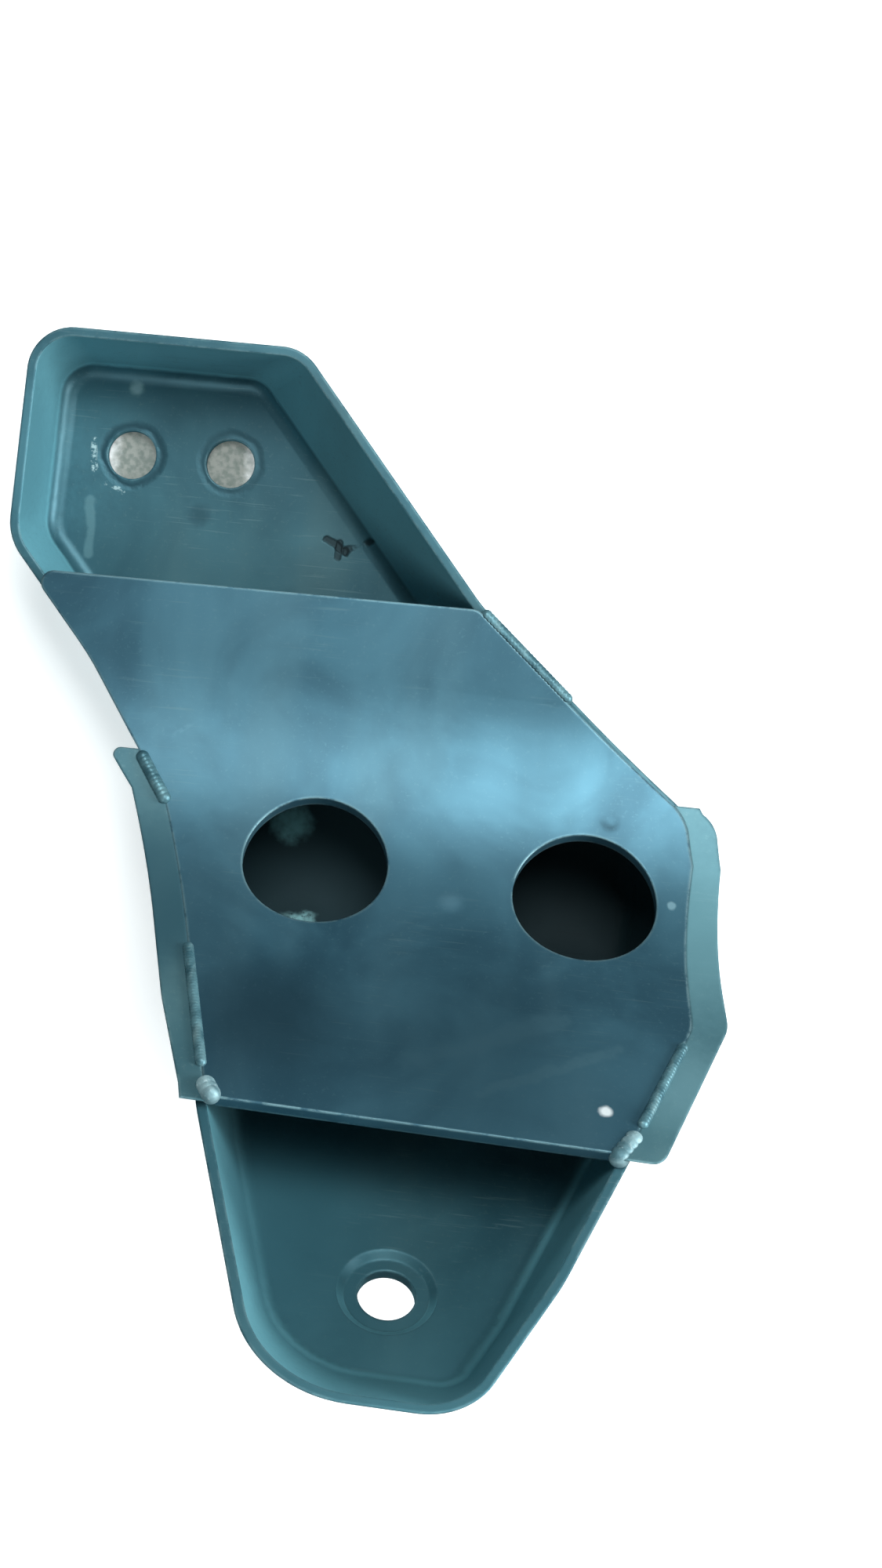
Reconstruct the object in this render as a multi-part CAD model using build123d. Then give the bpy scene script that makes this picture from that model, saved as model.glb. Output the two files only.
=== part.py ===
from build123d import *
from math import atan2, cos, hypot, pi, radians, sin, tan
import os

# Frame: Z up out of the open side of the tray, X along the line through the two upper bolt holes,
# Y towards the upper end. Origin midway between those holes on the outer seating face. Millimetres.

# sheet thicknesses
traySheet = 1.6
plateSheet = 2.0
saddleSheet = 2.0

# overall shape
bendAngle = 50.0        # the lower arm rises this much out of the upper arm's plane
bendSkew = 2.7          # bend line turned clockwise from X
bendY = -74.1           # where the sharp floor bend line crosses X = 0
trayDepth = 20.0        # inner floor to rim
tipDepth = 16.5         # the rim drops to this at the round tip
rimRadius = 60.0        # bend radius of the rim, and of the plate's underside

# upper arm outline, outer faces, at rim level
topY = 18.6
topLeftX = -25.6
topRightX = 22.6
shoulderX = 58.3        # the right wall turns slightly here
shoulderY = -24.0
hipX = 97.0             # the right wall turns down the bend here
hipY = -57.8
heelX = -26.4           # the left wall turns in here
heelY = -19.4
neckX = -9.4            # the left wall bows in between heel and bend
neckY = -39.6

# widest part, at the bend line
bendLeftX = 7.0
bendRightX = 96.6

# lower arm outline, outer faces, at rim level, measured along the arm from the bend line
tipS = 123.0
tipLeftX = 38.2
tipRightX = 68.6
kneeLeftX = 22.8
kneeLeftS = tipS - 48.0
flankRightX = 99.4
flankRightS = tipS - 77.0
waistRightX = 80.9
waistRightS = tipS - 25.5

# how far each wall leans in between rim level and floor level
sideLean = 1.0          # left and top walls of the upper arm
rightLean = 7.3         # right wall of the upper arm
bendLean = 5.0          # left wall at the bend
hipLean = 7.2           # right wall at the bend
armLean = 6.6           # left wall of the lower arm
tipLean = 17.0          # the scooped tip wall

# corner radii, outer faces, at rim level
topLeftRadius = 8.0
topRightRadius = 8.0
shoulderRadius = 30.0
hipRadius = 11.0
heelRadius = 10.0
neckRadius = 45.0
bendLeftRadius = 12.0
seamSlant = 1.1         # the left wall crosses the bend line at a slant
kneeRadius = 40.0
flankRadius = 8.0
waistRadius = 40.0
tipRadius = 19.0

# floor fillet, inside the tray
floorFillet = 3.0

# bolt holes
boltHoleDiameter = 9.0
boltSpacing = 18.4
lowerHoleX = 55.5
lowerHoleS = tipS - 34.0
coinRadius = 7.8        # coined ring round the lower hole
coinDepth = 1.0
bossHeight = 1.2
coinTaper = 1.2

# bridge plate
plateTopY = -24.7
plateEndS = tipS - 48.7
plateInsetLeft = 0.3    # edge of the plate to the outer face of the wall below it
plateInsetRight = 1.8
plateInsetHip = 1.3
plateInsetLow = 1.4
plateCornerRadius = 2.2
accessHoleDiameter = 24.8
accessLeftX = 33.5
accessRightX = 79.9
accessAngle = 34.4      # position round the bend

# outer saddle
saddleStartAngle = 16.0
saddleStartSkew = 2.0   # its upper edge runs nearly parallel to X
saddleEndS = plateEndS + 1.2
saddleEndRake = 42.0    # its lower ends slope back towards the floor
saddleFillet = 6.0
lipThickness = 2.4
lipRightTop = 3.6       # how far the turned-out lip stands beyond the tray wall
lipRightLow = 4.6
lipLeftTop = 5.2
lipLeftMiddle = 7.4
lipLeftLow = 1.6
lipBulgeS = plateEndS * 0.69  # where the left lip is widest
lipCornerSmall = 1.3
lipCornerLarge = 6.0

# weld beads
beadRadius = 1.3
beadPitch = 0.7         # in bead radii
underBeadLength = 30.0
cornerBeadLength = 13.5  # from the plate's upper right corner down its edge
leftBeadStart = 3.2     # past the saddle's upper end
leftBeadLength = 7.0
lowerBeadLeft = 2.0     # back from the plate's lower edge
lowerBeadRight = 3.6
lipBeadEnd = 6.5        # the lip beads stop this far from the plate's lower edge
lipBeadRight = 17.0
lipBeadLeft = 24.0

halfBend = radians(bendAngle / 2)
skew = radians(bendSkew)
rimLevel = trayDepth
bendOrigin = Vector(0, bendY, traySheet)
bendAxis = Vector(cos(skew), -sin(skew), 0)
alongUp = Vector(sin(skew), cos(skew), 0)
armNormal = alongUp * sin(radians(bendAngle)) + Vector(0, 0, cos(radians(bendAngle)))
upperPlane = Plane(origin=(0, 0, traySheet), x_dir=(1, 0, 0), z_dir=(0, 0, 1))
lowerPlane = Plane(origin=bendOrigin, x_dir=bendAxis, z_dir=armNormal)
profilePlane = Plane(origin=bendOrigin, x_dir=alongUp, z_dir=bendAxis)
bendCentre = (trayDepth + rimRadius) * tan(halfBend)
bendHeight = trayDepth + rimRadius
lowLevel = -12.0
highLevel = 40.0


def mitre(points, offsets):
    """Move each side i (from point i to point i + 1) outwards by offsets[i]."""
    count = len(points)
    lines = []
    for i in range(count):
        (x0, y0), (x1, y1) = points[i], points[(i + 1) % count]
        length = hypot(x1 - x0, y1 - y0)
        dx, dy = (x1 - x0) / length, (y1 - y0) / length
        lines.append((x0 - dy * offsets[i], y0 + dx * offsets[i], dx, dy))
    moved = []
    for i in range(count):
        ax, ay, adx, ady = lines[i - 1]
        bx, by, bdx, bdy = lines[i]
        cross = adx * bdy - ady * bdx
        if abs(cross) < 1e-6:
            moved.append((bx, by))
            continue
        t = ((bx - ax) * bdy - (by - ay) * bdx) / cross
        moved.append((ax + adx * t, ay + ady * t))
    return moved


def roundedWire(points, radii, plane, level):
    """Closed wire through the points with an arc at every corner."""
    edges = []
    ends = []
    count = len(points)
    for i in range(count):
        px, py = points[i]
        qx, qy = points[i - 1]
        rx, ry = points[(i + 1) % count]
        a = hypot(qx - px, qy - py)
        b = hypot(rx - px, ry - py)
        ux, uy = (qx - px) / a, (qy - py) / a
        vx, vy = (rx - px) / b, (ry - py) / b
        turn = abs(atan2(ux * vy - uy * vx, ux * vx + uy * vy))
        cut = min(radii[i] / tan(turn / 2), 0.46 * a, 0.46 * b)
        radius = cut * tan(turn / 2)
        mx, my = ux + vx, uy + vy
        m = max(hypot(mx, my), 1e-9)
        reach = radius / sin(turn / 2) - radius
        ends.append(((px + ux * cut, py + uy * cut), (px + mx / m * reach, py + my / m * reach),
                     (px + vx * cut, py + vy * cut)))
    place = lambda p: plane.from_local_coords(Vector(p[0], p[1], level))
    for i in range(count):
        start, middle, stop = ends[i]
        following = ends[(i + 1) % count][0]
        if radii[i] > 0:
            edges.append(Edge.make_three_point_arc(place(start), place(middle), place(stop)))
        edges.append(Edge.make_line(place(stop), place(following)))
    return Wire(edges)


def lean(value, level):
    """What is left of a lean at a level: all of it at the floor, none at the rim."""
    return value * (1 - level / rimLevel)


def seam(level, offset):
    """Distances across the tray to the two walls at the bend line."""
    left = bendLeftX + lean(bendLean, level) - offset * seamSlant
    right = bendRightX - lean(hipLean, level) + offset
    return left, right


def seamPoint(across, up):
    """Upper arm position of a point given across the tray and up from the bend line."""
    return (across * cos(skew) + up * sin(skew), bendY - across * sin(skew) + up * cos(skew))


def upperOutline(level, offset, leftShift=0, rightShift=0):
    """Outline of the upper arm at a level, walls moved out by the offset."""
    walls = [(topLeftX, topY), (topRightX, topY), (shoulderX, shoulderY), (hipX, hipY),
             (bendRightX, bendY), (bendLeftX, bendY), (neckX, neckY), (heelX, heelY)]
    moves = [lean(-sideLean, level) + offset, lean(-rightLean, level) + offset,
             lean(-rightLean, level) + offset, lean(-hipLean, level) + offset, 0,
             lean(-bendLean * 0.6, level) + offset, lean(-bendLean * 0.6, level) + offset,
             lean(-sideLean, level) + offset]
    moved = mitre(walls, moves)
    left, right = seam(level, offset)
    left, right = left + leftShift, right + rightShift
    step = level * tan(halfBend)
    return [moved[0], moved[1], moved[2], moved[3], seamPoint(right, step), seamPoint(right, step - 60),
            seamPoint(left, step - 60), seamPoint(left, step), moved[6], moved[7]]


def lowerOutline(level, offset, leftShift=0, rightShift=0):
    """Outline of the lower arm at a level, as (across, minus distance along the arm)."""
    walls = [(bendRightX, 0), (flankRightX, -flankRightS), (waistRightX, -waistRightS), (tipRightX, -tipS),
             (tipLeftX, -tipS), (kneeLeftX, -kneeLeftS), (bendLeftX, 0)]
    moves = [lean(-hipLean, level) + offset, lean(-hipLean, level) + offset, lean(-hipLean, level) + offset,
             lean(-tipLean, level) + offset, lean(-armLean, level) + offset,
             lean(-armLean * 0.85, level) + offset, 0]
    moved = mitre(walls, moves)
    left, right = seam(level, offset)
    left, right = left + leftShift, right + rightShift
    step = level * tan(halfBend)
    return [(left, 60.0), (right, 60.0), (right, -step), moved[1], moved[2], moved[3], moved[4], moved[5],
            (left, -step)]


upperRadii = [topLeftRadius, topRightRadius, shoulderRadius, hipRadius, 0, 0, 0, 0, neckRadius, heelRadius]
lowerRadii = [0, 0, 0, flankRadius, waistRadius, tipRadius, tipRadius, kneeRadius, 0]


def frustum(outlineAt, radii, plane, offset, low, high):
    """Solid between two levels, its walls straight from one outline to the other."""
    wires = []
    for level in (low, high):
        rounds = [max(radius + offset, 0.6) if radius else 0 for radius in radii]
        wires.append(roundedWire(outlineAt(level, offset), rounds, plane, level))
    return Solid.make_loft(wires, ruled=True)


def profilePoint(height, angle, run):
    """Point on the side profile: round the bend by an angle, then on along the arm."""
    radius = bendHeight - height
    y = bendCentre - radius * sin(radians(angle)) - run * cos(radians(angle))
    z = bendHeight - radius * cos(radians(angle)) + run * sin(radians(angle))
    return (y, z)


def regionAbove(height, endRun=0, endHeight=0):
    """Everything on the open side of a surface that lies a height above the inner floor."""
    first = (160.0, height)
    start = profilePoint(height, 0, 0)
    middle = profilePoint(height, bendAngle / 2, 0)
    stop = profilePoint(height, bendAngle, 0)
    points = [stop]
    if endRun:
        points.append(armPoint(height, endRun))
        slope = (endHeight - height) / (tipS - endRun)
        points.append(armPoint(height + slope * 110, endRun + 110))
    else:
        points.append(armPoint(height, 230))
    points.append(armPoint(180, 230))
    points += [(160.0, 300.0), first]
    edges = [Edge.make_line(toProfile(first), toProfile(start)),
             Edge.make_three_point_arc(toProfile(start), toProfile(middle), toProfile(stop))]
    for a, b in zip(points, points[1:]):
        edges.append(Edge.make_line(toProfile(a), toProfile(b)))
    face = Face(Wire(edges))
    return Solid.extrude(face, bendAxis * 400)


def armPoint(height, run):
    """Profile point on the lower arm, at a height above its floor and a run from the bend line."""
    slope = radians(bendAngle)
    return (-run * cos(slope) + height * sin(slope), run * sin(slope) + height * cos(slope))


def toProfile(point):
    return profilePlane.from_local_coords(Vector(point[0], point[1], -150))


def bisectorHalf(upper):
    """Big block on one side of the plane that halves the bend."""
    direction = alongUp * cos(halfBend) - Vector(0, 0, sin(halfBend))
    plane = Plane(origin=bendOrigin, x_dir=bendAxis, z_dir=direction)
    block = Solid.make_box(600, 600, 300)
    block = block.moved(Location((-300, -300, 0 if upper else -300)))
    return block.moved(plane.location)


def bisectorDistance(point):
    return (point - bendOrigin).dot(alongUp * cos(halfBend) - Vector(0, 0, sin(halfBend)))


def joinArms(upperSolid, lowerSolid):
    return (upperSolid & bisectorHalf(True)) + (lowerSolid & bisectorHalf(False))


def roundLeftSeam(solid, radius):
    """Round the upright edge where the two left walls meet on the bend line."""
    edges = [edge for edge in solid.edges() if edge.length > trayDepth
             and all(abs(bisectorDistance(edge.position_at(t))) < 0.02 for t in (0, 0.5, 1))
             and edge.position_at(0.5).X < (bendLeftX + bendRightX) / 2]
    return solid.fillet(radius, edges)


def envelope(offset, height, fillet):
    """Filled tray shape: walls moved out by an offset, floor at a height, floor edges rounded."""
    upper = frustum(upperOutline, upperRadii, upperPlane, offset, lowLevel, highLevel)
    lower = frustum(lowerOutline, lowerRadii, lowerPlane, offset, lowLevel, highLevel)
    whole = roundLeftSeam(joinArms(upper, lower), bendLeftRadius + offset) & regionAbove(height)
    whole = whole.solid()
    seen = {}
    for face in whole.faces():
        if onFloor(face, height):
            for edge in face.edges():
                spot = edge.position_at(0.5)
                seen.setdefault((round(spot.X, 2), round(spot.Y, 2), round(spot.Z, 2)), []).append(edge)
    return whole.fillet(fillet, [edges[0] for edges in seen.values() if len(edges) == 1])


def onFloor(face, height):
    """True when the middle of a face lies on the floor surface at a height."""
    spot = profilePlane.to_local_coords(face.position_at(0.5, 0.5))
    flat = abs(spot.Y - height)
    arm = abs(spot.X * sin(radians(bendAngle)) + spot.Y * cos(radians(bendAngle)) - height)
    curve = abs(hypot(spot.X - bendCentre, spot.Y - bendHeight) - (bendHeight - height))
    return min(flat, arm, curve) < 0.01 and face.geom_type in (GeomType.PLANE, GeomType.CYLINDER)


def cylinderAt(point, direction, radius, before, after):
    """Cylinder along a direction, starting before the point and ending after it."""
    plane = Plane(origin=point - direction * before, z_dir=direction)
    return Solid.make_cylinder(radius, before + after, plane)


def coneAt(point, direction, nearRadius, farRadius, length):
    plane = Plane(origin=point, z_dir=direction)
    return Solid.make_cone(nearRadius, farRadius, length, plane)


lowerHole = lowerPlane.from_local_coords(Vector(lowerHoleX, -lowerHoleS, 0))
trayBody = envelope(0, -traySheet, floorFillet + traySheet)
trayHollow = envelope(-traySheet, 0, floorFillet)


def makeTray():
    tray = trayBody - regionAbove(trayDepth, plateEndS, tipDepth) - trayHollow
    boss = coneAt(lowerHole - armNormal * traySheet, -armNormal, coinRadius + 0.8,
                  coinRadius + 0.8 - coinTaper, bossHeight)
    recess = coneAt(lowerHole, -armNormal, coinRadius, coinRadius - coinTaper, coinDepth)
    tray = tray + boss - recess
    tray = tray - cylinderAt(lowerHole, armNormal, boltHoleDiameter / 2, 20, 20)
    for x in (-boltSpacing / 2, boltSpacing / 2):
        tray = tray - cylinderAt(Vector(x, 0, 0), Vector(0, 0, 1), boltHoleDiameter / 2, 5, 10)
    return tray.solid()


def wedge():
    """Slice of space between the two ends of the saddle."""
    start = radians(saddleStartAngle)
    turn = radians(saddleStartSkew)
    radial = alongUp * cos(start) - Vector(0, 0, sin(start))
    centre = profilePlane.from_local_coords(Vector(bendCentre, bendHeight, (bendLeftX + bendRightX) / 2))
    startPlane = Plane(origin=centre, z_dir=bendAxis * sin(turn) - radial * cos(turn))
    rake = radians(saddleEndRake)
    endPoint = lowerPlane.from_local_coords(Vector(0, -saddleEndS, trayDepth + plateSheet))
    endNormal = lowerPlane.y_dir * cos(rake) + lowerPlane.z_dir * sin(rake)
    endPlane = Plane(origin=endPoint, x_dir=bendAxis, z_dir=endNormal)
    block = Solid.make_box(500, 500, 250).moved(Location((-250, -250, 0)))
    return block.moved(startPlane.location) & block.moved(endPlane.location)


def prismPair(upperAt, upperRounds, lowerAt, lowerRounds):
    """Both arms joined at the bend from two outlines given as functions of the level."""
    solids = []
    for outlineAt, rounds, plane in ((upperAt, upperRounds, upperPlane), (lowerAt, lowerRounds, lowerPlane)):
        wires = [roundedWire(outlineAt(level), rounds, plane, level) for level in (lowLevel, highLevel)]
        solids.append(Solid.make_loft(wires, ruled=True))
    return joinArms(solids[0], solids[1]).solid()


def shifted(points, changes):
    """Points with some of them moved across the tray."""
    return [(x + changes.get(i, 0), y) for i, (x, y) in enumerate(points)]


def plateUpper(level):
    walls = upperOutline(level, 0, plateInsetLeft, -plateInsetHip)
    left, right = -plateInsetLeft, -plateInsetRight
    moved = mitre(walls, [0, right, right, 0, 0, 0, 0, left, left, left])
    hip = (walls[3][0] - plateInsetHip * 1.3, walls[3][1] - plateInsetHip * 0.4)
    return moved[:3] + [hip] + walls[4:8] + moved[8:]


def plateLower(level):
    walls = lowerOutline(level, 0, plateInsetLeft, -plateInsetHip)
    return shifted(walls, {3: -plateInsetHip, 4: -plateInsetLow, 5: -plateInsetLow, 6: plateInsetLow,
                           7: plateInsetLow * 1.4})


def platePrism():
    """Upright prism of the plate's side edges over both arms."""
    blank = prismPair(plateUpper, upperRadii, plateLower, lowerRadii)
    return roundLeftSeam(blank, bendLeftRadius)


def makePlate():
    """Curved plate that rests on the tray rims across the bend."""
    blank = platePrism()
    front = lowerPlane.from_local_coords(Vector(0, -plateEndS, 0))
    frontPlane = Plane(origin=front, x_dir=bendAxis, z_dir=lowerPlane.y_dir)
    block = Solid.make_box(500, 500, 250).moved(Location((-250, -250, 0)))
    back = Solid.make_box(500, 500, 300).moved(Location((-250, plateTopY - 500, -50)))
    plate = blank & regionAbove(trayDepth) & block.moved(frontPlane.location) & back
    plate = (plate - regionAbove(trayDepth + plateSheet)).solid()
    corners = [edge for edge in plate.edges() if abs(edge.length - plateSheet) < 0.4
               and (edge.position_at(0.5).Y > plateTopY - 0.1 or endRunOf(edge.position_at(0.5)) > plateEndS - 0.1)]
    plate = plate.fillet(plateCornerRadius, corners)
    for across in (accessLeftX, accessRightX):
        plate = plate - accessCutter(across)
    return plate.solid()


def endRunOf(point):
    return -lowerPlane.to_local_coords(point).Y


def accessCutter(across):
    y, z = profilePoint(trayDepth + plateSheet, accessAngle, 0)
    centre = profilePlane.from_local_coords(Vector(y, z, across))
    turn = radians(accessAngle)
    outward = alongUp * sin(turn) + Vector(0, 0, cos(turn))
    return cylinderAt(centre, outward, accessHoleDiameter / 2, 12, 12)


def lipUpper(level):
    points = upperOutline(level, 0, -lipLeftTop, lipRightTop)
    return shifted(points, {3: lipRightTop, 8: -lipLeftTop, 9: -lipLeftTop})


def lipLower(level):
    points = lowerOutline(level, 0, -lipLeftTop, lipRightTop)
    moved = mitre(points, [0, 0, 0, lipRightLow, lipRightLow, 0, lipLeftLow, lipLeftLow, 0])
    flank = (points[3][0] + lipRightLow, points[3][1] + 1.0)
    share = lipBulgeS / kneeLeftS
    bulge = (points[8][0] + (points[7][0] - points[8][0]) * share + lipLeftTop - lipLeftMiddle,
             points[8][1] + (points[7][1] - points[8][1]) * share)
    return points[:3] + [flank, moved[4], points[5], points[6], moved[7], bulge, points[8]]


def makeSaddle():
    """U-shaped pressing lapped round the outside of the tray, with turned-out lips."""
    band = wedge() - regionAbove(trayDepth + plateSheet)
    wrap = (envelope(saddleSheet, -traySheet - saddleSheet, saddleFillet) & band).solid()
    lipLevel = regionAbove(trayDepth + plateSheet - lipThickness)
    blank = prismPair(lipUpper, upperRadii, lipLower, lowerRadii[:7] + [20.0, 45.0, 0])
    lips = (blank & band & lipLevel).solid()
    lips = roundLipCorners(lips) - platePrism() - (trayBody - regionAbove(trayDepth))
    return ((wrap - trayBody) + lips).solid()


def roundLipCorners(lips):
    """Round the outer corner at each end of both lips, the right ones more than the left."""
    for side, end, radius in ((1, 0, lipCornerLarge), (1, 1, lipCornerLarge * 0.5),
                              (-1, 0, lipCornerSmall), (-1, 1, lipCornerSmall)):
        cut = endFace(lips, end)
        across = lambda edge: side * (edge.position_at(0.5) - bendOrigin).dot(bendAxis)
        upright = [edge for edge in cut.edges() if edge.length < lipThickness * 1.6]
        outermost = max(across(edge) for edge in upright)
        chosen = [edge for edge in upright if across(edge) > outermost - 2]
        lips = lips.fillet(radius, chosen).solid()
    return lips


def endFace(lips, end):
    """Biggest flat end face of the lips: the upper one for 0, the lower one for 1."""
    flats = [face for face in lips.faces() if face.geom_type == GeomType.PLANE and face.area > 60]
    flats.sort(key=lambda face: endRunOf(face.position_at(0.5, 0.5)))
    return flats[-1] if end else flats[0]


def surfacePoint(across, along, height):
    """Point over the plate: across it, along its curve from the start of the bend, and up."""
    arc = (bendHeight - trayDepth - plateSheet) * radians(bendAngle)
    angle = min(max(along / arc, 0), 1) * bendAngle
    run = along if along < 0 else max(along - arc, 0)
    y, z = profilePoint(height, angle, run)
    return profilePlane.from_local_coords(Vector(y, z, across))


def makeBead(start, stop, radius, neighbours):
    """Rippled bead from one point to another, trimmed to the sheets it joins."""
    span = stop - start
    count = max(round(span.length / (radius * beadPitch)), 1)
    pitch = span.length / count
    neck = (radius ** 2 - pitch ** 2 / 4) ** 0.5
    side = span.cross(armNormal + Vector(0, 0, 1)).normalized()
    plane = Plane(origin=start, x_dir=span.normalized(), z_dir=side)
    spot = lambda x, y: plane.from_local_coords(Vector(x, y, 0))
    edges = [Edge.make_line(spot(span.length + radius, 0), spot(-radius, 0))]
    for i in range(count + 1):
        left = (-radius, 0) if i == 0 else ((i - 0.5) * pitch, neck)
        right = (span.length + radius, 0) if i == count else ((i + 0.5) * pitch, neck)
        edges.append(Edge.make_three_point_arc(spot(*left), spot(i * pitch, radius), spot(*right)))
    bead = Solid.revolve(Face(Wire(edges)), 360, Axis(start, span))
    for solid in neighbours:
        bead = bead - solid
    return bead.solids().sort_by(SortBy.VOLUME)[-1]


def underPoint(across, angle, run):
    y, z = profilePoint(-traySheet - saddleSheet * 0.36, angle, run)
    return profilePlane.from_local_coords(Vector(y, z, across))


def alongTop(across):
    """Distance along the plate's curve to its upper edge, at a distance across."""
    return bendCentre - across * tan(skew) - (plateTopY - bendY) / cos(skew)


def edgePoint(along, side, height, inset):
    """Point on the plate's left (-1) or right (1) edge at a distance along its curve."""
    centre = surfacePoint(0, along, trayDepth + plateSheet / 2)
    ahead = surfacePoint(0, along + 0.2, trayDepth + plateSheet / 2)
    station = Plane(origin=centre, x_dir=bendAxis, z_dir=ahead - centre)
    sheet = Face.make_rect(600, 12, station)
    cut = sheet & plate
    spots = [station.to_local_coords(corner.center()).X for corner in cut.vertices()]
    across = max(spots) if side > 0 else min(spots)
    return surfacePoint(across - side * inset, along, height)


def makeWelds(sheets):
    """Every weld bead by name."""
    level = trayDepth + plateSheet * 0.5
    top = trayDepth + plateSheet
    arc = (bendHeight - trayDepth - plateSheet) * radians(bendAngle)
    corner = alongTop(shoulderX)
    saddleTop = (bendHeight - trayDepth - plateSheet) * radians(saddleStartAngle)
    end = arc + plateEndS - bendCentre
    underStart = saddleStartAngle - 0.62 * beadRadius / bendHeight * 180 / pi
    underRun = saddleEndS + beadRadius * 0.5 - (bendHeight + traySheet) * tan(halfBend)
    middle = (bendLeftX + bendRightX) / 2
    half = underBeadLength / 2
    paths = {
        "weld_plate_upper_right": (corner + 1.0, corner + cornerBeadLength, 1, level, -0.5, 0.9),
        "weld_plate_left": (saddleTop + leftBeadStart, saddleTop + leftBeadStart + leftBeadLength, -1, top, 0.0, 0.9),
        "weld_plate_lower_left": (end - lowerBeadLeft, end + 0.2, -1, top, 0.4, 1.2),
        "weld_plate_lower_right": (end - lowerBeadRight, end + 0.4, 1, level, 0.3, 1.3),
        "weld_lip_right": (end - lipBeadEnd - lipBeadRight, end - lipBeadEnd, 1, top, 0, 0.7),
        "weld_lip_left": (end - lipBeadEnd - lipBeadLeft, end - lipBeadEnd, -1, top, 0, 0.7),
    }
    beads = {}
    for name, (first, last, side, height, inset, scale) in paths.items():
        start = edgePoint(first, side, height, inset)
        stop = edgePoint(last - 0.6 if last > end - 0.6 else last, side, height, inset)
        beads[name] = makeBead(start, stop, beadRadius * scale, sheets)
    for name, angle, run in (("weld_under_upper", underStart, 0), ("weld_under_lower", bendAngle, underRun)):
        beads[name] = makeBead(underPoint(middle - half, angle, run), underPoint(middle + half, angle, run),
                               beadRadius * 1.2, sheets)
    return beads


tray = makeTray()
print("base tray")
plate = makePlate()
print("bridge plate")
saddle = makeSaddle()
print("saddle")
nodes = {"base_tray": tray, "bridge_plate": plate, "bend_saddle": saddle}
nodes.update(makeWelds([tray, plate, saddle]))
os.makedirs("parts", exist_ok=True)
for name, solid in nodes.items():
    export_step(solid, "parts/" + name + ".step")
    print(name, round(solid.volume, 1))
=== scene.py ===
import bpy
from math import radians
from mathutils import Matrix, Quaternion, Vector


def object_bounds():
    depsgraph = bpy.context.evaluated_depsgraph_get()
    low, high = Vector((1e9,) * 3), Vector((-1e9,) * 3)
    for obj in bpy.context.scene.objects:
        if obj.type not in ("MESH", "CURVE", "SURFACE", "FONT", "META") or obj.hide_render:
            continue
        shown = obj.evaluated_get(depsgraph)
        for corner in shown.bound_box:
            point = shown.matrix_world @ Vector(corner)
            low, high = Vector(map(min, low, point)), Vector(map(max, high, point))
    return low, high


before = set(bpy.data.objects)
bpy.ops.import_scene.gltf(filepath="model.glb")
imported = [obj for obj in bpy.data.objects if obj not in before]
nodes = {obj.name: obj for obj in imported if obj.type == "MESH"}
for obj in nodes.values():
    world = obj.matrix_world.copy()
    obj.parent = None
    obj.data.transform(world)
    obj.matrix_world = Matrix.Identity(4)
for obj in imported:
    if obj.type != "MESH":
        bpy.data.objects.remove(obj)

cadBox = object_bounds()
print("frame loaded:", len(nodes), "pieces")


# place given in millimetres
def mm(x, y, z):
    return Vector((x, y, z)) * 0.001


def add(tree, kind, inputs=None, **settings):
    made = tree.nodes.new("ShaderNode" + kind)
    for name, value in settings.items():
        setattr(made, name, value)
    for name, value in (inputs or {}).items():
        socket = made.inputs[name]
        if isinstance(value, bpy.types.NodeSocket):
            tree.links.new(value, socket)
        else:
            socket.default_value = value
    return made


def calc(tree, operation, a, b=0.0, clamp=False):
    return add(tree, "Math", {0: a, 1: b}, operation=operation, use_clamp=clamp).outputs[0]


def mixColour(tree, factor, a, b):
    made = add(tree, "Mix", {0: factor, 6: a, 7: b}, data_type="RGBA")
    return made.outputs[2]


def remap(tree, value, low, high, toLow=0.0, toHigh=1.0):
    made = add(tree, "MapRange", {"Value": value, "From Min": low, "From Max": high,
                                  "To Min": toLow, "To Max": toHigh}, interpolation_type="SMOOTHSTEP")
    return made.outputs[0]


# node group with float or vector inputs given as name: default, and float outputs
def newGroup(name, inputs, outputs):
    group = bpy.data.node_groups.new(name, "ShaderNodeTree")
    for label, value in inputs.items():
        kind = "NodeSocketFloat" if isinstance(value, float) else "NodeSocketVector"
        socket = group.interface.new_socket(label, in_out="INPUT", socket_type=kind)
        socket.default_value = value
    for label in outputs:
        group.interface.new_socket(label, in_out="OUTPUT", socket_type="NodeSocketFloat")
    start = group.nodes.new("NodeGroupInput")
    stop = group.nodes.new("NodeGroupOutput")
    return group, start.outputs, stop.inputs


def useGroup(tree, group, inputs):
    made = tree.nodes.new("ShaderNodeGroup")
    made.node_tree = group
    for name, value in inputs.items():
        socket = made.inputs[name]
        if isinstance(value, bpy.types.NodeSocket):
            tree.links.new(value, socket)
        else:
            socket.default_value = value
    return made.outputs


grain = {"wear": 260.0, "spot": 700.0, "ring": 320.0, "shake": 230.0, "crumbs": 900.0, "thinning": 55.0,
         "grit": 900.0}    # noise cells per metre
bevelSamples = 6
scuffTurns = (0.4, 1.5, 1.7)    # radians
scuffThinness = 26.0
scuffDepth = 0.000006


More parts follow.
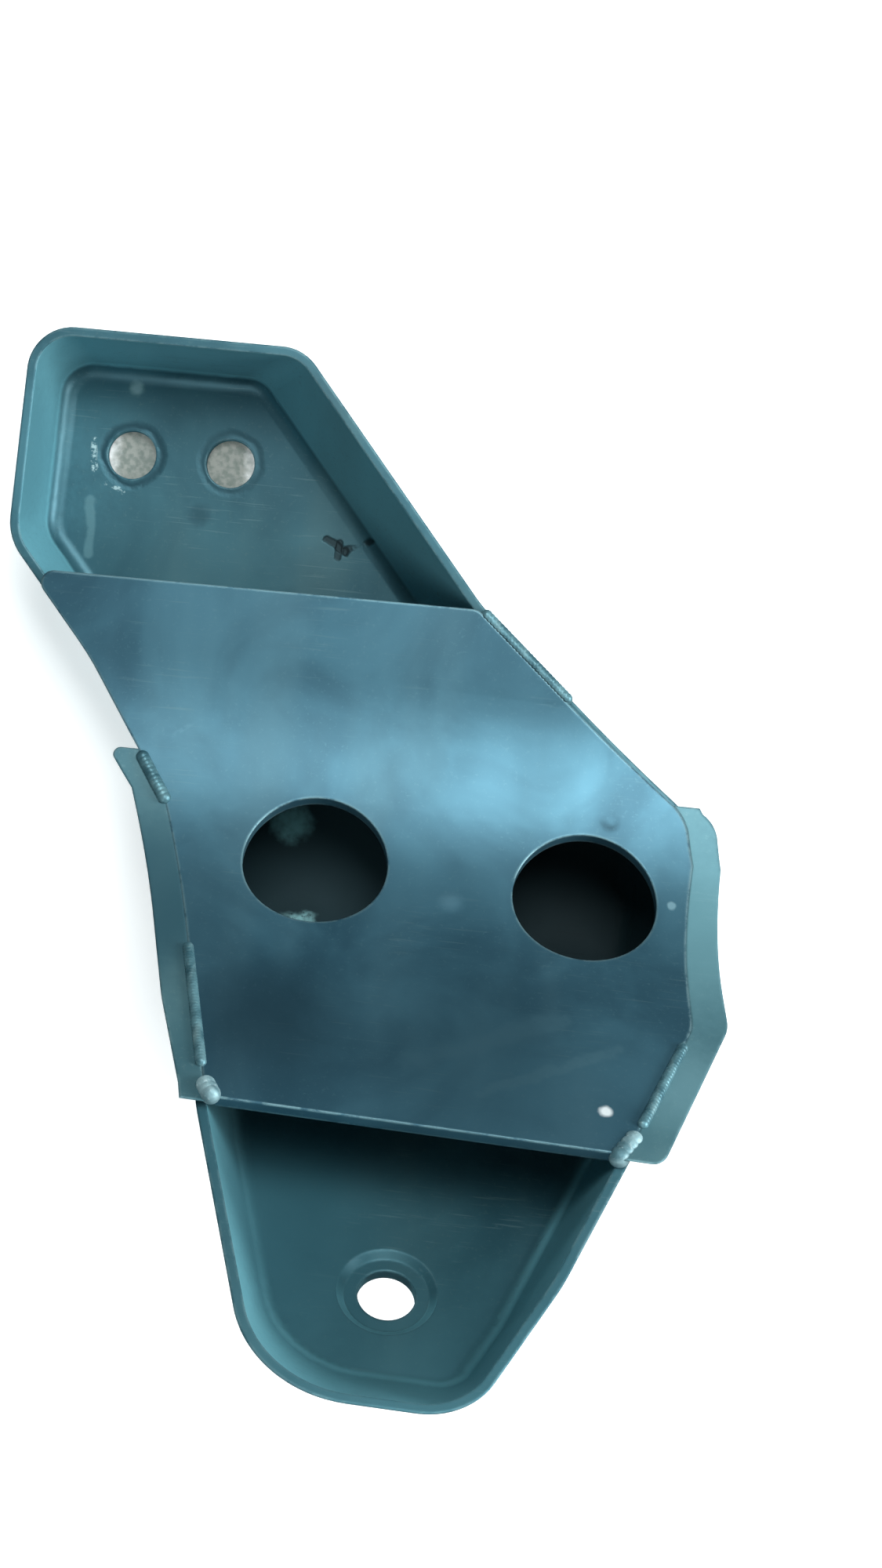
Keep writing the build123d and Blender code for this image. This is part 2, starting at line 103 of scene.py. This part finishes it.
# slow colour drift and fine speckle of a dip coat
def makeCoatCloud():
    group, given, out = newGroup("coatCloud", {"Place": (0, 0, 0), "Cloud Size": 0.03,
                                               "Speckle Size": 0.0008}, ["Cloud", "Speckle", "Runs"])
    cloud = add(group, "TexNoise", {"Vector": given["Place"],
                                    "Scale": calc(group, "DIVIDE", 1.0, given["Cloud Size"]),
                                    "Detail": 4.0, "Roughness": 0.55, "Distortion": 0.6})
    speckle = add(group, "TexNoise", {"Vector": given["Place"],
                                      "Scale": calc(group, "DIVIDE", 1.0, given["Speckle Size"]),
                                      "Detail": 3.0, "Roughness": 0.7})
    stretch = add(group, "Mapping", {"Vector": given["Place"], "Scale": (1.0, 0.22, 0.22)})
    runs = add(group, "TexNoise", {"Vector": stretch.outputs[0],
                                   "Scale": calc(group, "DIVIDE", 1.6, given["Cloud Size"]), "Detail": 3.0})
    group.links.new(cloud.outputs["Fac"], out["Cloud"])
    group.links.new(speckle.outputs["Fac"], out["Speckle"])
    group.links.new(runs.outputs["Fac"], out["Runs"])
    return group


# mask of worn edges: where a rounded normal differs from the true one, broken up by noise
def makeEdgeWear():
    group, given, out = newGroup("edgeWear", {"Place": (0, 0, 0), "Width": 0.0008, "Patchiness": 0.5},
                                 ["Mask"])
    rounded = add(group, "Bevel", {"Radius": given["Width"]}, samples=bevelSamples)
    true = add(group, "NewGeometry")
    same = add(group, "VectorMath", {0: rounded.outputs[0], 1: true.outputs["Normal"]},
               operation="DOT_PRODUCT")
    edge = remap(group, same.outputs["Value"], 0.999, 0.86)
    noise = add(group, "TexNoise", {"Vector": given["Place"], "Scale": grain["wear"], "Detail": 5.0,
                                    "Roughness": 0.7})
    patch = remap(group, noise.outputs["Fac"], given["Patchiness"],
                  calc(group, "ADD", given["Patchiness"], 0.16))
    mask = calc(group, "MULTIPLY", edge, patch)
    group.links.new(mask, out["Mask"])
    return group


# soft round patch about a point, its outline made uneven
def makeSpot():
    group, given, out = newGroup("spot", {"Place": (0, 0, 0), "Centre": (0, 0, 0), "Radius": 0.002,
                                          "Softness": 0.5, "Ragged": 0.3}, ["Mask"])
    gap = add(group, "VectorMath", {0: given["Place"], 1: given["Centre"]}, operation="DISTANCE")
    noise = add(group, "TexNoise", {"Vector": given["Place"], "Scale": grain["spot"], "Detail": 4.0})
    uneven = calc(group, "MULTIPLY", calc(group, "SUBTRACT", noise.outputs["Fac"], 0.5), given["Ragged"])
    share = calc(group, "ADD", calc(group, "DIVIDE", gap.outputs["Value"], given["Radius"]),
                 calc(group, "MULTIPLY", uneven, 2.0))
    mask = remap(group, share, 1.0, calc(group, "SUBTRACT", 1.0, given["Softness"]))
    group.links.new(mask, out["Mask"])
    return group


# ring about an upright axis, used for the painted shade in the recessed washer seats round the bolt holes
def makeRing():
    group, given, out = newGroup("ring", {"Place": (0, 0, 0), "Centre": (0, 0, 0), "Radius": 0.006,
                                          "Width": 0.001, "Ragged": 0.3}, ["Ring"])
    gap = add(group, "VectorMath", {0: given["Place"], 1: given["Centre"]}, operation="DISTANCE")
    noise = add(group, "TexNoise", {"Vector": given["Place"], "Scale": grain["ring"], "Detail": 4.0})
    uneven = calc(group, "MULTIPLY", calc(group, "SUBTRACT", noise.outputs["Fac"], 0.5),
                  calc(group, "MULTIPLY", given["Ragged"], given["Width"]))
    off = calc(group, "ADD", calc(group, "SUBTRACT", gap.outputs["Value"], given["Radius"]),
               calc(group, "MULTIPLY", uneven, 4.0))
    near = calc(group, "ABSOLUTE", off)
    ring = remap(group, near, given["Width"], 0.0)
    group.links.new(ring, out["Ring"])
    return group


# thin uneven line between two points: a scratch or a scuff
def makeStroke():
    group, given, out = newGroup("stroke", {"Place": (0, 0, 0), "Start": (0, 0, 0), "Along": (1, 0, 0),
                                            "Length": 0.01, "Width": 0.0005, "Wobble": 0.001,
                                            "Broken": 0.2}, ["Mask"])
    noise = add(group, "TexNoise", {"Vector": given["Place"], "Scale": grain["shake"], "Detail": 3.0})
    shake = add(group, "VectorMath", {0: noise.outputs["Color"], 1: (0.5, 0.5, 0.5)}, operation="SUBTRACT")
    moved = add(group, "VectorMath", {0: shake.outputs[0], "Scale": given["Wobble"]}, operation="SCALE")
    place = add(group, "VectorMath", {0: given["Place"], 1: moved.outputs[0]}, operation="ADD")
    offset = add(group, "VectorMath", {0: place.outputs[0], 1: given["Start"]}, operation="SUBTRACT")
    along = add(group, "VectorMath", {0: offset.outputs[0], 1: given["Along"]}, operation="DOT_PRODUCT")
    reach = add(group, "Clamp", {"Value": along.outputs["Value"], "Min": 0.0, "Max": given["Length"]})
    foot = add(group, "VectorMath", {0: given["Along"], "Scale": reach.outputs[0]}, operation="SCALE")
    gap = add(group, "VectorMath", {0: offset.outputs[0], 1: foot.outputs[0]}, operation="DISTANCE")
    line = remap(group, gap.outputs["Value"], given["Width"], calc(group, "MULTIPLY", given["Width"], 0.4))
    crumbs = add(group, "TexNoise", {"Vector": given["Place"], "Scale": grain["crumbs"], "Detail": 4.0,
                                     "Roughness": 0.7})
    kept = remap(group, crumbs.outputs["Fac"], calc(group, "MULTIPLY", given["Broken"], 0.9),
                 calc(group, "ADD", calc(group, "MULTIPLY", given["Broken"], 0.9), 0.14))
    group.links.new(calc(group, "MULTIPLY", line, kept), out["Mask"])
    return group


# many short fine scratches, each cell turned its own way
def makeScuffs():
    group, given, out = newGroup("fineScuffs", {"Place": (0, 0, 0), "Size": 0.012, "Amount": 0.5}, ["Mask"])
    total = None
    for turn in scuffTurns:
        turned = add(group, "Mapping", {"Vector": given["Place"], "Rotation": (0.3 * turn, 0.2 * turn, turn),
                                        "Scale": (1.0, scuffThinness, scuffThinness)})
        lines = add(group, "TexNoise", {"Vector": turned.outputs[0],
                                        "Scale": calc(group, "DIVIDE", 1.0, given["Size"]),
                                        "Detail": 2.0, "Roughness": 0.4})
        line = remap(group, lines.outputs["Fac"], 0.66, 0.74)
        total = line if total is None else calc(group, "MAXIMUM", total, line)
    thin = add(group, "TexNoise", {"Vector": given["Place"], "Scale": grain["thinning"], "Detail": 2.0})
    where = remap(group, thin.outputs["Fac"], 0.45, 0.62)
    mask = calc(group, "MULTIPLY", calc(group, "MULTIPLY", total, where), given["Amount"])
    group.links.new(mask, out["Mask"])
    return group


coatCloud = makeCoatCloud()
edgeWear = makeEdgeWear()
spot = makeSpot()
ring = makeRing()
stroke = makeStroke()
fineScuffs = makeScuffs()
print("shared effects made")


# lay the piece's marks over its coat, real marks and painted light and shade alike, each with a colour, a
# gloss and a depth
def applyMarks(tree, place, colour, rough, height, marks):
    for mark in marks:
        kind = mark["kind"]
        if kind == "spot":
            mask = useGroup(tree, spot, {"Place": place, "Centre": mark["at"], "Radius": mark["radius"],
                                         "Softness": mark.get("softness", 0.5),
                                         "Ragged": mark.get("ragged", 0.3)})["Mask"]
        elif kind == "ring":
            mask = useGroup(tree, ring, {"Place": place, "Centre": mark["at"], "Radius": mark["radius"],
                                         "Width": mark["width"], "Ragged": mark.get("ragged", 0.3)})["Ring"]
        else:
            span = mark["to"] - mark["at"]
            mask = useGroup(tree, stroke, {"Place": place, "Start": mark["at"], "Along": span.normalized(),
                                           "Length": span.length, "Width": mark["width"],
                                           "Wobble": mark.get("wobble", 0.001),
                                           "Broken": mark.get("broken", 0.2)})["Mask"]
        mask = calc(tree, "MULTIPLY", mask, mark.get("strength", 1.0))
        if "colour" in mark:
            colour = mixColour(tree, mask, colour, mark["colour"])
        if "rough" in mark:
            rough = calc(tree, "ADD", rough, calc(tree, "MULTIPLY", mask, mark["rough"]), clamp=True)
        if "depth" in mark:
            height = calc(tree, "ADD", height, calc(tree, "MULTIPLY", mask, mark["depth"]))
    return colour, rough, height


# dark dip-coated steel with drift in its colour, worn edges, scuffs and soft pressing waves
def coatedMetal(name, values, marks):
    material = bpy.data.materials.new(name)
    material.use_nodes = True
    tree = material.node_tree
    shader = tree.nodes["Principled BSDF"]
    place = add(tree, "TexCoord").outputs["Object"]
    coat = useGroup(tree, coatCloud, {"Place": place, "Cloud Size": values["cloudSize"],
                                      "Speckle Size": values["speckleSize"]})
    wear = useGroup(tree, edgeWear, {"Place": place, "Width": values["edgeWidth"],
                                     "Patchiness": values["edgePatch"]})
    scuffs = useGroup(tree, fineScuffs, {"Place": place, "Size": values["scuffSize"],
                                         "Amount": values["scuffAmount"]})
    drift = remap(tree, coat["Cloud"], 0.32, 0.68)
    colour = mixColour(tree, drift, values["deep"], values["pale"])
    # painted light: steep faces are mixed towards a lighter wall colour, standing in for the side lamp
    # lighting the tray walls
    upright = add(tree, "SeparateXYZ", {0: add(tree, "NewGeometry").outputs["Normal"]}).outputs["Z"]
    steep = remap(tree, upright, 0.62, 0.25)
    colour = mixColour(tree, calc(tree, "MULTIPLY", steep, values["wallPaintedLight"]), colour, values["wall"])
    colour = mixColour(tree, remap(tree, coat["Runs"], 0.5, 0.75, 0.0, values["runs"]), colour,
                       values["dust"])
    colour = mixColour(tree, remap(tree, coat["Speckle"], 0.56, 0.74, 0.0, values["speckle"]), colour,
                       values["dust"])
    colour = mixColour(tree, scuffs["Mask"], colour, values["scuffed"])
    colour = mixColour(tree, calc(tree, "MULTIPLY", wear["Mask"], values["edgeAmount"]), colour,
                       values["worn"])
    rough = remap(tree, coat["Runs"], 0.3, 0.7, values["rough"] - 0.05, values["rough"] + 0.06)
    rough = calc(tree, "ADD", rough, calc(tree, "MULTIPLY", scuffs["Mask"], 0.15))
    wave = add(tree, "TexNoise", {"Vector": place, "Scale": 1 / values["waveSize"], "Detail": 2.0,
                                  "Roughness": 0.4})
    height = calc(tree, "MULTIPLY", wave.outputs["Fac"], values["waveDepth"])
    peel = add(tree, "TexNoise", {"Vector": place, "Scale": 1 / values["peelSize"], "Detail": 3.0})
    height = calc(tree, "ADD", height, calc(tree, "MULTIPLY", peel.outputs["Fac"], values["peelDepth"]))
    height = calc(tree, "SUBTRACT", height, calc(tree, "MULTIPLY", scuffs["Mask"], scuffDepth))
    colour, rough, height = applyMarks(tree, place, colour, rough, height, marks)
    edgeRound = add(tree, "Bevel", {"Radius": values["edgeRound"]}, samples=bevelSamples)
    bump = add(tree, "Bump", {"Strength": 1.0, "Distance": 1.0, "Height": height,
                              "Normal": edgeRound.outputs[0]})
    tree.links.new(colour, shader.inputs["Base Color"])
    tree.links.new(rough, shader.inputs["Roughness"])
    tree.links.new(bump.outputs[0], shader.inputs["Normal"])
    shader.inputs["Metallic"].default_value = values["metallic"]
    shader.inputs["Specular IOR Level"].default_value = values["specular"]
    shader.inputs["Specular Tint"].default_value = values["tint"]
    shader.inputs["Coat Weight"].default_value = values["clear"]
    shader.inputs["Coat Roughness"].default_value = values["clearRough"]
    return material


def dress(names, material):
    for name in names:
        slots = nodes[name].data.materials
        if len(slots) == 0:
            slots.append(material)
        for i in range(len(slots)):
            slots[i] = material


trayCoat = {
    "deep": (0.016, 0.058, 0.076, 1), "pale": (0.032, 0.096, 0.118, 1), "dust": (0.070, 0.130, 0.135, 1),
    # wall colour and its share are painted light on the steep tray walls
    "wall": (0.150, 0.390, 0.450, 1), "wallPaintedLight": 0.85,
    "scuffed": (0.10, 0.17, 0.18, 1), "worn": (0.16, 0.27, 0.29, 1),
    "cloudSize": 0.030, "speckleSize": 0.0007, "speckle": 0.35, "runs": 0.30,
    "edgeWidth": 0.0009, "edgePatch": 0.42, "edgeAmount": 0.55,
    "scuffSize": 0.012, "scuffAmount": 0.35,
    "rough": 0.44, "metallic": 0.35, "specular": 0.5, "tint": (0.55, 0.9, 1.0, 1),
    "clear": 0.10, "clearRough": 0.35,
    "waveSize": 0.016, "waveDepth": 0.00025, "peelSize": 0.0012, "peelDepth": 0.000012,
    "edgeRound": 0.0006,
}
boltX = 9.2
traySheet = 1.6
darkRing = (0.012, 0.045, 0.060, 1)
bareMetal = (0.42, 0.56, 0.56, 1)
soot = (0.004, 0.010, 0.012, 1)
trayMarksAndPaintedLight = [
    # painted shadow: near-black floor inside the box, seen through the left access hole
    {"kind": "spot", "at": mm(30, -74, 9), "radius": 0.021, "softness": 0.25,
     "colour": (0.002, 0.007, 0.009, 1),
     "strength": 0.94, "rough": 0.35, "ragged": 0.2},
    # painted shadow: near-black floor inside the box, seen through the right access hole
    {"kind": "spot", "at": mm(80, -77, 10), "radius": 0.024, "softness": 0.25,
     "colour": (0.001, 0.004, 0.005, 1),
     "strength": 0.98, "rough": 0.45, "ragged": 0.1},
    # painted light: pool of light on the floor inside the box, seen through the left access hole
    {"kind": "spot", "at": mm(27.0, -67.0, 2.0), "radius": 0.0068, "softness": 0.35,
     "colour": (0.12, 0.28, 0.29, 1), "strength": 0.85, "ragged": 0.15},
    # painted light: pale streak of light on the floor inside the box, seen through the left access hole
    {"kind": "stroke", "at": mm(24.0, -82.5, 10.5), "to": mm(32.5, -84.0, 12.5), "width": 0.0034,
     "colour": (0.30, 0.58, 0.60, 1), "strength": 0.9, "wobble": 0.005, "broken": 0.35},
    # painted shade darkening the lower arm's end wall
    {"kind": "spot", "at": mm(60, -152, 88), "radius": 0.046, "softness": 0.8,
     "colour": (0.045, 0.135, 0.160, 1),
     "strength": 0.6, "ragged": 0.1},
    # painted shade darkening the upper left wall
    {"kind": "spot", "at": mm(-22, -4, 18), "radius": 0.024, "softness": 0.8,
     "colour": (0.060, 0.180, 0.220, 1),
     "strength": 0.55, "ragged": 0.2},
    # painted shade darkening the lower arm's left wall
    {"kind": "spot", "at": mm(30, -125, 62), "radius": 0.034, "softness": 0.8,
     "colour": (0.030, 0.100, 0.125, 1),
     "strength": 0.75, "ragged": 0.1},
    # painted shade in the recessed washer seat round each bolt hole; the depth is the real shallow recess
    {"kind": "ring", "at": mm(-boltX, 0, traySheet), "radius": 0.0054, "width": 0.0013,
     "colour": darkRing, "rough": -0.08, "depth": -0.00012},
    {"kind": "ring", "at": mm(boltX, 0, traySheet), "radius": 0.0054, "width": 0.0012,
     "colour": darkRing, "strength": 0.7, "rough": -0.06, "depth": -0.00010},
    {"kind": "stroke", "at": mm(-16.4, 2.2, 1.6), "to": mm(-15.9, -3.2, 1.6), "width": 0.0008,
     "colour": bareMetal, "strength": 0.75, "rough": 0.1, "wobble": 0.0018, "broken": 0.5},
    {"kind": "stroke", "at": mm(-13.6, -5.6, 1.6), "to": mm(-10.4, -7.2, 1.6), "width": 0.0006,
     "colour": bareMetal, "strength": 0.6, "rough": 0.1, "wobble": 0.0014, "broken": 0.5},
    {"kind": "spot", "at": mm(4.4, -10.0, 1.6), "radius": 0.0030, "softness": 0.8, "colour": darkRing,
     "strength": 0.8},
    {"kind": "spot", "at": mm(-9.4, 12.4, 1.6), "radius": 0.0018, "softness": 0.8,
     "colour": (0.20, 0.32, 0.33, 1), "strength": 0.6},
    # painted highlight along the fillet at the foot of the left wall
    {"kind": "stroke", "at": mm(-16.2, -9.0, 1.7), "to": mm(-15.6, -19.0, 1.7), "width": 0.0012,
     "colour": (0.16, 0.30, 0.32, 1), "strength": 0.28, "wobble": 0.0018, "broken": 0.3},
    {"kind": "stroke", "at": mm(28.3, -12.6, 1.7), "to": mm(32.2, -14.2, 1.7), "width": 0.0010,
     "broken": 0.1,
     "colour": soot, "strength": 0.95, "depth": -0.0002, "wobble": 0.0022},
    {"kind": "stroke", "at": mm(32.2, -14.2, 1.7), "to": mm(38.0, -11.6, 2.5), "width": 0.0009,
     "broken": 0.1,
     "colour": soot, "strength": 0.9, "depth": -0.0002, "wobble": 0.0026},
    {"kind": "stroke", "at": mm(31.0, -12.8, 1.7), "to": mm(30.6, -15.4, 1.7), "width": 0.0008,
     "broken": 0.1,
     "colour": soot, "strength": 0.85, "depth": -0.0002, "wobble": 0.0014},
]
dress(["base_tray"], coatedMetal("trayCoat", trayCoat, trayMarksAndPaintedLight))
print("base tray dressed")

plateCoat = dict(trayCoat)
plateCoat.update({
    "deep": (0.022, 0.066, 0.094, 1), "pale": (0.044, 0.118, 0.158, 1), "dust": (0.080, 0.160, 0.190, 1),
    "wallPaintedLight": 0.0, "speckle": 0.30, "runs": 0.22, "rough": 0.37, "metallic": 0.5, "cloudSize": 0.026,
    "scuffAmount": 0.25, "waveSize": 0.018, "waveDepth": 0.00009, "edgeAmount": 0.8, "edgePatch": 0.36,
})
plateMarksAndPaintedLight = [
    {"kind": "spot", "at": mm(83.8, -59.6, 26.8), "radius": 0.0022, "softness": 0.9, "depth": -0.00014,
     "ragged": 0.1},
    {"kind": "spot", "at": mm(57.3, -75.6, 36.0), "radius": 0.0030, "softness": 0.9, "depth": 0.00016,
     "colour": (0.09, 0.19, 0.24, 1), "strength": 0.5, "ragged": 0.2},
    {"kind": "spot", "at": mm(95.0, -73.0, 33.0), "radius": 0.0010, "softness": 0.5,
     "colour": (0.20, 0.34, 0.38, 1), "strength": 0.6},
    {"kind": "stroke", "at": mm(6.5, -51.6, 25.4), "to": mm(36.4, -28.5, 24.2), "width": 0.0006,
     "colour": (0.10, 0.20, 0.25, 1), "strength": 0.16, "wobble": 0.0004, "broken": 0.45},
    # painted highlight: bright glint on the lower part of the plate
    {"kind": "spot", "at": mm(83.8, -103.8, 66.6), "radius": 0.0014, "softness": 0.6,
     "colour": (0.90, 0.96, 0.96, 1), "strength": 1.0, "ragged": 0.25},
    {"kind": "stroke", "at": mm(52, -101.5, 62.5), "to": mm(76, -92, 53), "width": 0.0030,
     "colour": (0.060, 0.135, 0.170, 1), "strength": 0.5, "wobble": 0.004, "broken": 0.25},
    {"kind": "stroke", "at": mm(64, -103.5, 66), "to": mm(86, -95, 57), "width": 0.0016,
     "colour": (0.075, 0.160, 0.195, 1), "strength": 0.4, "wobble": 0.003, "broken": 0.3},
    # painted shade darkening the lower, down-facing part of the plate
    {"kind": "spot", "at": mm(30, -97, 58), "radius": 0.020, "softness": 0.9,
     "colour": (0.010, 0.030, 0.044, 1), "strength": 0.75, "ragged": 0.05},
    # painted shade darkening the lower, down-facing part of the plate
    {"kind": "spot", "at": mm(62, -100, 60), "radius": 0.034, "softness": 0.9,
     "colour": (0.012, 0.038, 0.054, 1), "strength": 0.6, "ragged": 0.05},
]
dress(["bridge_plate"], coatedMetal("plateCoat", plateCoat, plateMarksAndPaintedLight))
print("bridge plate dressed")

saddleCoat = dict(trayCoat)
saddleCoat.update({
    "deep": (0.030, 0.085, 0.105, 1), "pale": (0.060, 0.140, 0.160, 1), "dust": (0.12, 0.20, 0.20, 1),
    "wallPaintedLight": 0.0, "runs": 0.45, "rough": 0.46, "edgeAmount": 0.6,
})
saddlePaintedLightAndShade = [
    # painted light brightening the right ear
    {"kind": "spot", "at": mm(101.0, -78.0, 35.0), "radius": 0.034, "softness": 0.9,
     "colour": (0.11, 0.24, 0.27, 1), "strength": 0.7, "ragged": 0.1},
    # painted light brightening the lower end of the right ear
    {"kind": "spot", "at": mm(97.0, -98.0, 62.0), "radius": 0.014, "softness": 0.9,
     "colour": (0.13, 0.26, 0.29, 1), "strength": 0.6, "ragged": 0.1},
    # painted shade darkening the left lip beside the plate's edge
    {"kind": "spot", "at": mm(6.0, -80.0, 40.0), "radius": 0.030, "softness": 0.7,
     "colour": (0.022, 0.066, 0.086, 1), "strength": 0.85, "ragged": 0.1},
]
dress(["bend_saddle"], coatedMetal("saddleCoat", saddleCoat, saddlePaintedLightAndShade))
print("outer saddle dressed")

weldCoat = dict(trayCoat)
weldCoat.update({
    "deep": (0.030, 0.085, 0.105, 1), "pale": (0.090, 0.190, 0.215, 1), "dust": (0.20, 0.30, 0.30, 1),
    "wallPaintedLight": 0.0, "cloudSize": 0.004, "speckle": 0.5, "runs": 0.5, "rough": 0.42, "metallic": 0.35,
    "waveSize": 0.0025, "waveDepth": 0.00030, "peelSize": 0.0007, "peelDepth": 0.00008,
    "edgeWidth": 0.0005, "edgeRound": 0.0003,
})
welds = [name for name in nodes if name.startswith("weld_")]
dress(welds, coatedMetal("weldCoat", weldCoat, []))
brightWeld = dict(weldCoat)
brightWeld.update({"deep": (0.06, 0.13, 0.15, 1), "pale": (0.24, 0.36, 0.38, 1),
    "dust": (0.50, 0.60, 0.60, 1),
                   "rough": 0.60})
dress(["weld_plate_lower_right", "weld_plate_lower_left"], coatedMetal("brightWeld", brightWeld, []))
print("weld beads dressed")

stand = {"size": 6.0, "pale": (0.90, 0.90, 0.89, 1), "shade": (0.125, 0.145, 0.130, 1),
         "grain": (0.20, 0.21, 0.19, 1), "underShade": 0.016, "glow": 0.45, "gap": 0.0003,
         "centre": (0.05, -0.05), "rough": 0.9}
floorHeight = cadBox[0][2] - stand["gap"]
bpy.ops.mesh.primitive_plane_add(size=stand["size"], location=(*stand["centre"], floorHeight))
floor = bpy.context.object
floor.name = "floor"
paper = bpy.data.materials.new("paleFloor")
paper.use_nodes = True
paperTree = paper.node_tree
paperShader = paperTree.nodes["Principled BSDF"]
place = add(paperTree, "NewGeometry").outputs["Position"]
grit = add(paperTree, "TexNoise", {"Scale": grain["grit"], "Detail": 4.0, "Vector": place}).outputs["Fac"]
shade = mixColour(paperTree, remap(paperTree, grit, 0.35, 0.65), stand["shade"], stand["grain"])
underShade = useGroup(paperTree, spot, {"Place": place, "Centre": Vector((0, 0, floorHeight)),
                                   "Radius": stand["underShade"], "Softness": 0.3, "Ragged": 0.1})["Mask"]
paperColour = mixColour(paperTree, underShade, stand["pale"], shade)    # partly grey grain of the floor, partly painted shade under the part, where the bolt holes look through
paperTree.links.new(paperColour, paperShader.inputs["Base Color"])
paperTree.links.new(paperColour, paperShader.inputs["Emission Color"])
paperShader.inputs["Emission Strength"].default_value = stand["glow"]
paperShader.inputs["Roughness"].default_value = stand["rough"]
floor.data.materials.append(paper)
floor.visible_glossy = False

aim = Vector((0.045, -0.065, 0.03))
lamps = {
    "key": {"towards": (0.15, 0.50, 0.85), "distance": 1.0, "size": (0.66, 0.50), "power": 11.0, "roll": -28,
            "colour": (0.93, 0.98, 1.0)},
    "window": {"towards": (0.92, 0.08, 0.38), "distance": 1.0, "size": (0.5, 0.35), "power": 16.0, "roll": 0,
               "colour": (0.94, 0.98, 1.0)},
    "fill": {"towards": (-0.2, -0.5, 0.85), "distance": 1.2, "size": (0.8, 0.8), "power": 6.0, "roll": 0,
             "colour": (0.90, 0.97, 1.0)},
}
for name, lamp in lamps.items():
    light = bpy.data.lights.new(name, "AREA")
    light.energy = lamp["power"]
    light.shape = "RECTANGLE"
    light.size, light.size_y = lamp["size"]
    light.color = lamp["colour"]
    holder = bpy.data.objects.new(name, light)
    bpy.context.collection.objects.link(holder)
    direction = Vector(lamp["towards"]).normalized()
    holder.location = aim + direction * lamp["distance"]
    turn = Quaternion(direction, radians(lamp["roll"]))
    holder.rotation_euler = (turn @ direction.to_track_quat("Z", "Y")).to_euler()

sky = {"seen": (0.86, 0.87, 0.88, 1), "light": (0.55, 0.78, 0.90, 1), "strength": 0.10}
world = bpy.data.worlds.new("studio")
bpy.context.scene.world = world
world.use_nodes = True
air = world.node_tree
background = air.nodes["Background"]
background.inputs["Color"].default_value = sky["light"]
background.inputs["Strength"].default_value = sky["strength"]
seen = air.nodes.new("ShaderNodeBackground")
seen.inputs["Color"].default_value = sky["seen"]
path = air.nodes.new("ShaderNodeLightPath")
choose = air.nodes.new("ShaderNodeMixShader")
air.links.new(path.outputs["Is Camera Ray"], choose.inputs[0])
air.links.new(background.outputs[0], choose.inputs[1])
air.links.new(seen.outputs[0], choose.inputs[2])
air.links.new(choose.outputs[0], air.nodes["World Output"].inputs[0])

view = {"at": (0.0538, -0.0558, 0.3816), "roll": 5.3, "lens": 46.8, "sensor": 36.0, "near": 0.01}
camera = bpy.data.objects.new("camera", bpy.data.cameras.new("camera"))
camera.data.lens = view["lens"]
camera.data.sensor_width = view["sensor"]
camera.data.clip_start = view["near"]
camera.location = view["at"]
camera.rotation_euler = (0, 0, radians(view["roll"]))
bpy.context.collection.objects.link(camera)
bpy.context.scene.camera = camera
bpy.context.scene.view_settings.view_transform = "Standard"
print("floor, light and camera placed")
